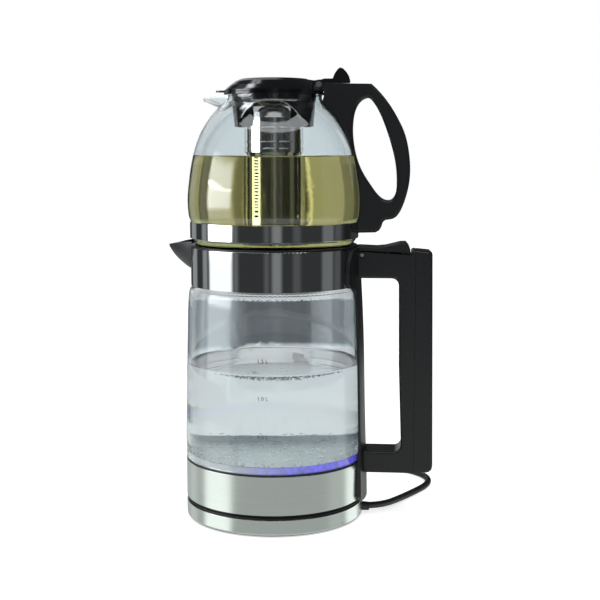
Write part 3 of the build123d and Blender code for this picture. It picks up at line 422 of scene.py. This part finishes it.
def tea():
    """Tea in the teapot and the infuser, climbing a little at the glass and the steel."""
    wall = smooth_path([(61.4, 232.4), (64.7, 233.5), (66.3, 236.8), (66.85, 243), (67.15, 249.2),
                        (68.3, 252.6), (69.15, 256.9), (69.55, 262.6), (69.3, 272.8), (68.25, 282.7),
                        (66.85, 292.4), (64.9, 302.0), (64.5, 303.6)])
    wall = [(r + BITE, z) for r, z in wall if z <= TEA_LEVEL + TEA_CREEP]
    edge = wall[-1][0]
    radii = [edge - 0.4 * k for k in range(1, 26)] + [45 - k for k in range(22)]
    radii += [22.8, 22.4, 22.1, 21.8, 21.5, 21.3]
    top = [(r, TEA_LEVEL + creep(r, edge, TEA_CREEP) + creep(r, INFUSER_OUTSIDE, STEEL_CREEP, STEEL_REACH))
           for r in radii]
    inside = [(r, TEA_LEVEL + creep(r, INFUSER_INSIDE, STEEL_CREEP, STEEL_REACH))
              for r in (17.8, 17.4, 16.8, 16.0, 14.7, 12)]
    outline = [(0, 232.25), (61.4, 232.25)] + wall + top + inside + [(0, TEA_LEVEL)]
    piece("tea", lathe("tea", outline), "teapot", TEA)


water()
tea()


# ---------------------------------------------------------------- scale, bubbles, beads and lining
GLASS_OUTSIDE = [(51.8, 74.6), (60, 75.0), (95, 74.6), (131, 73.9), (157, 73.1), (182, 72.3), (189, 71.7)]


def glass_radius(z):
    """Outside radius of the kettle glass at a height, in millimetres."""
    for (z0, r0), (z1, r1) in zip(GLASS_OUTSIDE, GLASS_OUTSIDE[1:]):
        if z0 <= z <= z1:
            return r0 + (r1 - r0) * (z - z0) / (z1 - z0)
    return GLASS_OUTSIDE[-1][1]


def scale_mark(name, text, z, high=3.3, aside=-1.7):
    """One printed figure of the litre scale, wrapped round the glass at -Y."""
    curve = bpy.data.curves.new(name, "FONT")
    curve.body = text
    curve.size = high * 1.38
    curve.extrude = 0.012
    curve.align_x = "CENTER"
    curve.resolution_u = 4
    flat = bpy.data.objects.new(name + "_flat", curve)
    mesh = bpy.data.meshes.new_from_object(flat)
    bpy.data.objects.remove(flat)
    bpy.data.curves.remove(curve)
    for v in mesh.vertices:
        r = glass_radius(z) + 0.022 + v.co.z
        turn = (aside + v.co.x) / r
        v.co = (r * sin(turn) * MM, -r * cos(turn) * MM, (z + v.co.y) * MM)
    bm = bmesh.new()
    bm.from_mesh(mesh)
    bmesh.ops.remove_doubles(bm, verts=bm.verts, dist=2e-6)
    bm.to_mesh(mesh)
    bm.free()
    mesh.materials.clear()
    piece(name, mesh, "kettle", INK)


def beads(name, spots, body, finish, squash=0.8):
    """Small round bubbles joined in one mesh; each spot is (x, y, z, r) in millimetres."""
    bm = bmesh.new()
    for x, y, z, r in spots:
        made = bmesh.ops.create_icosphere(bm, subdivisions=2, radius=r * MM)
        for v in made["verts"]:
            v.co = Vector((v.co.x + x * MM, v.co.y + y * MM, v.co.z * squash + z * MM))
    piece(name, smooth_mesh(name, bm), body, finish)


def plate_bubbles():
    """Bubbles that sit on the heating plate and along the light ring as the water warms."""
    on_plate, by_ring = 230, 170
    plate_top, plate_r, ring_r = 52.3, 64, 68.0
    dice = random.Random(7)
    spots = []
    for _ in range(on_plate):
        reach, turn = plate_r * dice.random() ** 0.5, 2 * pi * dice.random()
        r = dice.uniform(0.5, 1.25)
        spots.append((reach * cos(turn), reach * sin(turn), plate_top + r, r))
    for _ in range(by_ring):
        turn, r = 2 * pi * dice.random(), dice.uniform(0.4, 0.9)
        spots.append((ring_r * cos(turn), ring_r * sin(turn), dice.uniform(53.4, 60), r))
    beads("water_bubbles", spots, "kettle", AIR_BUBBLE)


def rod(bm, points, radius, sides=10):
    """Round bar along points in millimetres, closed at its ends."""
    points = [Vector(p) for p in points]
    rings = []
    for i, p in enumerate(points):
        way = (points[min(i + 1, len(points) - 1)] - points[max(i - 1, 0)]).normalized()
        side = way.cross(Vector((0, 0, 1) if abs(way.z) < 0.9 else (0, 1, 0))).normalized()
        rise = way.cross(side)
        turns = [2 * pi * k / sides for k in range(sides)]
        rings.append([bm.verts.new((p + radius * (cos(t) * side + sin(t) * rise)) * MM) for t in turns])
    for low, high in zip(rings, rings[1:]):
        for k in range(sides):
            bm.faces.new((low[k], low[(k + 1) % sides], high[(k + 1) % sides], high[k]))
    bm.faces.new(rings[0])
    bm.faces.new(rings[-1])


def rods(name, lines, radius, body, finish):
    """Round bars joined in one mesh."""
    bm = bmesh.new()
    for line in lines:
        rod(bm, line, radius)
    bmesh.ops.recalc_face_normals(bm, faces=bm.faces)
    piece(name, smooth_mesh(name, bm), body, finish)


TUBE_R, BEAD_R = 25.0, 0.62  # millimetres: the steel tube, and the round of the beads on it
ARCH_HALF, ARCH_FOOT, ARCH_RISE, LINING_R = 25.2, 326.5, 20.6, 0.6


def infuser_ribs():
    """Rolled beads on the front of the steel tube, in pairs beside its seam."""
    seam = (3, 10)
    lines = []
    for z, left, right in ((309.1, -20, 28), (314.6, -26, 36), (326.2, -32, 44)):
        for start, end in ((left, seam[0]), (seam[1], right)):
            turns = [start + (end - start) * i / 12 for i in range(13)]
            lines.append([[c / MM for c in polar(t, TUBE_R * MM, z * MM)] for t in turns])
    rods("infuser_ribs", lines, BEAD_R, "basket", BEADED_STEEL)


def window_lining():
    """Steel lining that follows the arch of the cup's window."""
    lines = []
    for start, end in ((106, 160), (20, 69)):
        line = []
        for i in range(25):
            t = radians(start + (end - start) * i / 24)
            x, z = ARCH_HALF * cos(t), ARCH_FOOT + ARCH_RISE * sin(t)
            r = 32.6 + (z - 327) / 10 - 0.5  # the cup widens upwards by a tenth of its height
            line.append((x, -((r * r - x * x) ** 0.5), z))
        lines.append(line)
    rods("window_lining", lines, LINING_R, "teapot", BEADED_STEEL)


def waterline_bubbles():
    """Small bubbles that gather under the water's front edge."""
    dice = random.Random(11)
    spots = []
    for _ in range(420):
        turn = dice.triangular(-44, 50, 2)
        r = dice.uniform(0.35, 0.85)
        x, y, _ = polar(turn, (71.0 - r - 1.6 * dice.random() ** 2) * MM, 0)
        deep = 2.6 * max(0.0, 1 - (turn / 40) ** 2)
        spots.append((x / MM, y / MM, WATER_LEVEL - 0.2 - r - deep * dice.random() ** 2, r))
    beads("waterline_bubbles", spots, "kettle", AIR_BUBBLE)


SCALE = [("mark_05", "0.5 L", 82.6), ("mark_10", "1.0 L", 113.3), ("mark_15", "1.5 L", 143.2)]
for mark, mark_text, middle in SCALE:
    scale_mark(mark, mark_text, middle - 1.6)  # half its height lower, where its foot is
plate_bubbles()
waterline_bubbles()
infuser_ribs()
window_lining()


# ---------------------------------------------------------------- smooth CAD faces
SHARP_FROM = 32  # degrees between faces
for node in CAD.values():
    node.data.shade_smooth()
    node.data.set_sharp_from_angle(angle=radians(SHARP_FROM))


# ---------------------------------------------------------------- floor, backdrop and light
def only_seen_by(obj, glossy=False, transmission=False):
    """Hides a card from all but mirror images, or from all but what glass lets through, or both."""
    obj.visible_camera = False
    obj.visible_diffuse = False
    obj.visible_glossy = glossy
    obj.visible_transmission = transmission
    obj.visible_volume_scatter = False
    obj.visible_shadow = False


def pale_floor():
    """White floor that stays white for the camera and keeps the shadow."""
    mesh = bpy.data.meshes.new("floor")
    s = 6.0
    mesh.from_pydata([(-s, -s, 0), (s, -s, 0), (s, s, 0), (-s, s, 0)], [], [(0, 1, 2, 3)])
    floor = bpy.data.objects.new("floor", mesh)
    bpy.context.scene.collection.objects.link(floor)
    m = blank("white_paper_sweep")
    path = add(m, "LightPath")
    place = add(m, "TexCoord").outputs["Object"]
    grain = add(m, "TexNoise", {"Vector": place, "Scale": 400.0, "Detail": 2.0}).outputs[0]
    bump = add(m, "Bump", {"Height": grain, "Distance": 0.0001, "Strength": 0.1})
    paper = add(m, "BsdfDiffuse", {"Color": (0.8, 0.8, 0.8, 1), "Normal": bump.outputs[0]})
    through = add(m, "Math", {0: path.outputs["Is Transmission Ray"], 1: 0.12}, operation="MULTIPLY")
    level = add(m, "Math", {0: path.outputs["Is Camera Ray"], 1: 0.6, 2: through.outputs[0]},
                operation="MULTIPLY_ADD").outputs[0]
    glow = add(m, "Emission", {"Color": (1, 1, 1, 1), "Strength": level})
    surface(m, add(m, "AddShader", {0: paper.outputs[0], 1: glow.outputs[0]}))
    mesh.materials.append(m)


def white_world():
    """World that is white to the camera, to mirrors and through glass, and gives a plain level of light."""
    world = bpy.data.worlds.new("studio")
    bpy.context.scene.world = world
    world.use_nodes = True
    tree = world.node_tree
    tree.nodes.clear()
    path = tree.nodes.new("ShaderNodeLightPath")
    first = tree.nodes.new("ShaderNodeMath")
    first.operation = "MAXIMUM"
    second = tree.nodes.new("ShaderNodeMath")
    second.operation = "MAXIMUM"
    tree.links.new(path.outputs["Is Camera Ray"], first.inputs[0])
    tree.links.new(path.outputs["Is Glossy Ray"], first.inputs[1])
    tree.links.new(first.outputs[0], second.inputs[0])
    tree.links.new(path.outputs["Is Transmission Ray"], second.inputs[1])
    seen = tree.nodes.new("ShaderNodeBackground")
    seen.inputs[0].default_value = (1, 1, 1, 1)
    seen.inputs[1].default_value = 1.0
    ambient = tree.nodes.new("ShaderNodeBackground")
    ambient.inputs[0].default_value = (1, 1, 1, 1)
    ambient.inputs[1].default_value = 0.6
    mix = tree.nodes.new("ShaderNodeMixShader")
    tree.links.new(second.outputs[0], mix.inputs[0])
    tree.links.new(ambient.outputs[0], mix.inputs[1])
    tree.links.new(seen.outputs[0], mix.inputs[2])
    out = tree.nodes.new("ShaderNodeOutputWorld")
    tree.links.new(mix.outputs[0], out.inputs[0])


def soft_step(gap, edge):
    """1 inside a card, 0 well outside it, with a soft edge."""
    t = min(1.0, max(0.0, 0.5 - gap / edge))
    return t * t * (3 - 2 * t)


def card_tone(angle, cards, ground, edge=6.0):
    """Tone of a ring of cards at an angle; each card is (middle, half width, tone)."""
    tone = ground
    for middle, half, strength in cards:
        away = abs((angle - middle + 180) % 360 - 180)
        tone += (strength - ground) * soft_step(away - half, edge)
    return tone


def card_material(name, colour):
    """Plain lit card with its tone on its points; matt faces behind glass get even light from all of it."""
    m = blank(name)
    matt = add(m, "LightPath").outputs["Diffuse Depth"]
    even = add(m, "Math", {0: matt, 1: EVEN_LIGHT}, operation="MULTIPLY").outputs[0]
    even = add(m, "Math", {0: even, 1: EVEN_LIGHT}, operation="MINIMUM").outputs[0]
    tone = add(m, "Attribute", attribute_name="tone").outputs["Fac"]
    level = add(m, "Math", {0: tone, 1: even}, operation="MAXIMUM").outputs[0]
    return surface(m, add(m, "Emission", {"Color": colour, "Strength": level}))


def card(name, rows, tones, material, **seen):
    """Sheet through rows of points, with one tone for each point."""
    wide = len(rows[0])
    verts = [p for row in rows for p in row]
    faces = [(i * wide + k, i * wide + k + 1, (i + 1) * wide + k + 1, (i + 1) * wide + k)
             for i in range(len(rows) - 1) for k in range(wide - 1)]
    mesh = bpy.data.meshes.new(name)
    mesh.from_pydata(verts, [], faces)
    mesh.attributes.new("tone", "FLOAT", "POINT").data.foreach_set("value", [t for row in tones for t in row])
    mesh.materials.append(material)
    sheet = bpy.data.objects.new(name, mesh)
    bpy.context.scene.collection.objects.link(sheet)
    only_seen_by(sheet, **seen)


def table_point(angle, reach):
    """Point on the table that the steel wall mirrors to the camera at an angle round the wall."""
    lean = 2 * angle if abs(angle) <= 70 else (140 + (abs(angle) - 70) * 40 / 110) * (1 if angle > 0 else -1)
    x, y, z = polar(angle, 0.0755, 0.0008)
    dx, dy, _ = polar(lean, reach, 0)
    return (x + dx, y + dy, z)


# cards round the studio that the camera doesn't see: (angle round from the camera, half width, tone)
WINDOW_AT, WINDOW_HALF = -76, 19
WALL_CARDS = [(-136, 9, 0.38), (-105, 5, 0.37), (-51, 3, 0.2), (-10, 3, 0.14), (3, 6, 0.3), (29, 5, 0.12),
              (74, 9, 0.22), (92, 6, 0.12), (113, 9, 0.02), (-172, 12, 0.8)]
WALL_GROUND = 0.05
EVEN_LIGHT = 2.2  # what the cards send to matt faces inside the glass
WINDOW_ROWS = [(0.001, 1.7), (0.15, 1.7), (0.2, 6.0), (0.375, 6.5), (0.38, 13.0), (0.39, 13.0),
               (0.395, 5.0), (0.5, 5.0), (0.6, 0.3), (1.3, 0.3)]  # (height, tone)
TABLE_CARDS = [(-40, 11, 1.7), (60, 8, 1.6), (42, 6, 0.75), (-66, 6, 0.85)]  # by the place that shows them
TABLE_GROUND = 0.61
TABLE_REACHES = (0.003, 0.03, 0.06, 0.1, 0.15, 0.22, 0.32, 0.45)
TEA_CARDS = [(5.4, 0.9, 0.3), (20, 4, 0.24), (-4.5, 0.4, 0.1), (-5.5, 0.3, 1.5), (-25, 6, 0.35),
             (-37, 6, 0.18)]
TEA_GROUND, NECK_TONE = 0.62, 0.84
KETTLE_CARDS, KETTLE_GROUND = [(0, 7, 0.14), (-10, 4, 0.55), (11, 4, 0.28)], 0.4
WALL_FROM_AXIS, CEILING_HEIGHT = 0.8, 1.3
FRONT_HALF = 125  # the wall behind the object stays out of what the glass lets through


def studio_cards():
    """Wall, floor ring and ceiling that mirrors see; glass also sees the wall and the ceiling, except for the
    wall behind the object.
    """
    cool = card_material("cool_cards", (0.94, 0.97, 1.0, 1))
    olive = card_material("table_cards", (0.93, 1.0, 0.95, 1))
    turns = list(range(-180, 181))
    for name, part, behind in (("front_wall", range(-FRONT_HALF, FRONT_HALF + 1), False),
                               ("back_wall", range(FRONT_HALF, 361 - FRONT_HALF), True)):
        rows, tones = [], []
        for z, window in WINDOW_ROWS:
            cards = WALL_CARDS + [(WINDOW_AT, WINDOW_HALF, window)]
            rows.append([polar(k, WALL_FROM_AXIS, z) for k in part])
            tones.append([card_tone(k, cards, WALL_GROUND) for k in part])
        card(name, rows, tones, cool, glossy=True, transmission=not behind)
    rows = [[table_point(k, reach) for k in turns] for reach in TABLE_REACHES]
    tones = [[card_tone(k, TABLE_CARDS, TABLE_GROUND) for k in turns]] * len(rows)
    card("table_ring", rows, tones, olive, glossy=True)
    rows = [[(-0.85 + 0.1 * i, -0.85 + 0.1 * j, CEILING_HEIGHT) for i in range(18)] for j in range(18)]
    tones = [[9.0 if hypot(x + 0.45, y - 0.35) < 0.13 else 0.05 for x, y, _ in row] for row in rows]
    card("studio_ceiling", rows, tones, cool, glossy=True, transmission=True)
    rows = [[polar(k, r, CEILING_HEIGHT - 0.01) for k in range(-80, 81)] for r in (0.46, WALL_FROM_AXIS)]
    card("front_boom", rows, [[3.0] * 161] * 2, cool, glossy=True, transmission=True)


def back_cards():
    """Dim cards behind, seen only through the glass and the liquids."""
    grey = card_material("back_cards", (0.86, 0.96, 1.0, 1))
    warm = card_material("back_cards_by_tea", (1.0, 1.0, 0.97, 1))
    turns = [k / 4 for k in range(-180, 181)]
    behind = [180 - k for k in turns]
    tone = [card_tone(k, KETTLE_CARDS, KETTLE_GROUND, 5.0) for k in turns]
    rows = [[polar(k, 0.5, z) for k in behind] for z in (0.058, 0.066, 0.124, 0.131)]
    card("behind_kettle", rows, [[1.0] * len(tone), tone, tone, [0.9] * len(tone)], grey, transmission=True)
    tone = [card_tone(k, TEA_CARDS, TEA_GROUND, 1.0) for k in turns]
    rows = [[polar(k, 0.3, z) for k in behind] for z in (0.2, 0.2995)]
    card("behind_tea", rows, [tone, tone], warm, transmission=True)
    rows = [[polar(k, 0.3, z) for k in behind] for z in (0.2996, 0.39)]
    card("behind_neck", rows, [[NECK_TONE] * len(turns)] * 2, grey, transmission=True)


def softbox(name, place, aim, wide, high, power):
    """Rectangular lamp that lights matt faces only."""
    light = bpy.data.lights.new(name, "AREA")
    light.shape = "RECTANGLE"
    light.size, light.size_y = wide, high
    light.energy = power
    obj = bpy.data.objects.new(name, light)
    obj.location = place
    obj.rotation_euler = (Vector(aim) - Vector(place)).to_track_quat("-Z", "Y").to_euler()
    obj.visible_glossy = False  # the cards give the highlights
    bpy.context.scene.collection.objects.link(obj)


pale_floor()
white_world()
studio_cards()
back_cards()
softbox("overhead", (0.1, -0.4, 1.5), (0, 0, 0.2), 1.2, 1.2, 12.0)
